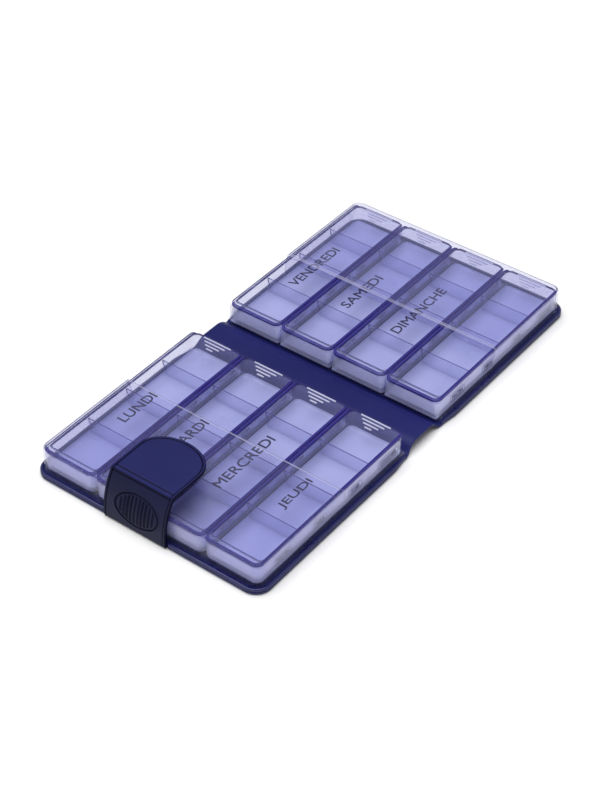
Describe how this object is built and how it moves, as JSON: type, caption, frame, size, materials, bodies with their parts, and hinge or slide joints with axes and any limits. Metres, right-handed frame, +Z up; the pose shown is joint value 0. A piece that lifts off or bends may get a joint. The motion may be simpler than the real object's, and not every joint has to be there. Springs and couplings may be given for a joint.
{
  "type": "travel pill organizer",
  "caption": "Soft plastic wallet that folds round clear day trays with sliding lids, with an arched spine and a strap clasp.",
  "frame": {"origin": "middle of the open wallet's footprint, on the surface that it lies on", "axes": "+X along the spine, +Y from the front leaf, which has the strap, to the rear leaf, +Z up"},
  "size_m": [0.1134, 0.2172, 0.0217],
  "materials": {
    "wallet_plastic": "satin moulded navy polypropylene",
    "clasp_plastic": "fine matt moulded navy polypropylene",
    "holder_plastic": "clear, faintly smoky, glossy",
    "tray_plastic": "clear lavender tint, glossy",
    "lid_plastic": "clear lavender tint, glossy"
  },
  "bodies": {
    "front_case": {"front_leaf": "wallet_plastic", "front_holder": "holder_plastic", "day_tray_1": "tray_plastic", "day_tray_2": "tray_plastic", "day_tray_3": "tray_plastic", "day_tray_4": "tray_plastic"},
    "spine_front": {"spine_front_panel": "wallet_plastic"},
    "spine_middle": {"spine_crown": "wallet_plastic"},
    "spine_rear": {"spine_rear_panel": "wallet_plastic"},
    "rear_case": {"rear_leaf": "wallet_plastic", "rear_holder": "holder_plastic", "day_tray_5": "tray_plastic", "day_tray_6": "tray_plastic", "day_tray_7": "tray_plastic", "day_tray_8": "tray_plastic", "day_lid_5": "lid_plastic", "day_lid_6": "lid_plastic", "day_lid_7": "lid_plastic", "day_lid_8": "lid_plastic"},
    "strap": {"clasp_strap": "clasp_plastic"},
    "tongue": {"clasp_tongue": "clasp_plastic"},
    "lid_1": {"day_lid_1": "lid_plastic"},
    "lid_2": {"day_lid_2": "lid_plastic"},
    "lid_3": {"day_lid_3": "lid_plastic"},
    "lid_4": {"day_lid_4": "lid_plastic"}
  },
  "joints": [
    {"name": "front_fold", "type": "hinge", "parent": "front_case", "child": "spine_front", "pos_m": [0, -0.0105, 0.0015], "axis": [1, 0, 0], "range_deg": [0, 49.79]},
    {"name": "crown_front_fold", "type": "hinge", "parent": "spine_front", "child": "spine_middle", "pos_m": [0, -0.0063, 0.00505], "axis": [1, 0, 0], "range_deg": [0, 40.21]},
    {"name": "crown_rear_fold", "type": "hinge", "parent": "spine_middle", "child": "spine_rear", "pos_m": [0, 0.0071, 0.00505], "axis": [1, 0, 0], "range_deg": [0, 40.21]},
    {"name": "rear_fold", "type": "hinge", "parent": "spine_rear", "child": "rear_case", "pos_m": [0, 0.0113, 0.0015], "axis": [1, 0, 0], "range_deg": [0, 49.79]},
    {"name": "strap_fold", "type": "hinge", "parent": "front_case", "child": "strap", "pos_m": [0, -0.10815, 0.0007], "axis": [1, 0, 0], "range_deg": [0, 90]},
    {"name": "tongue_fold", "type": "hinge", "parent": "strap", "child": "tongue", "pos_m": [0, -0.1017, 0.0214], "axis": [1, 0, 0], "range_deg": [0, 55]},
    {"name": "lid_1_slide", "type": "slide", "parent": "front_case", "child": "lid_1", "axis": [0, -1, 0], "range_m": [-0.022, 0]},
    {"name": "lid_2_slide", "type": "slide", "parent": "front_case", "child": "lid_2", "axis": [0, -1, 0], "range_m": [-0.022, 0]},
    {"name": "lid_3_slide", "type": "slide", "parent": "front_case", "child": "lid_3", "axis": [0, -1, 0], "range_m": [-0.022, 0]},
    {"name": "lid_4_slide", "type": "slide", "parent": "front_case", "child": "lid_4", "axis": [0, -1, 0], "range_m": [-0.022, 0]}
  ]
}
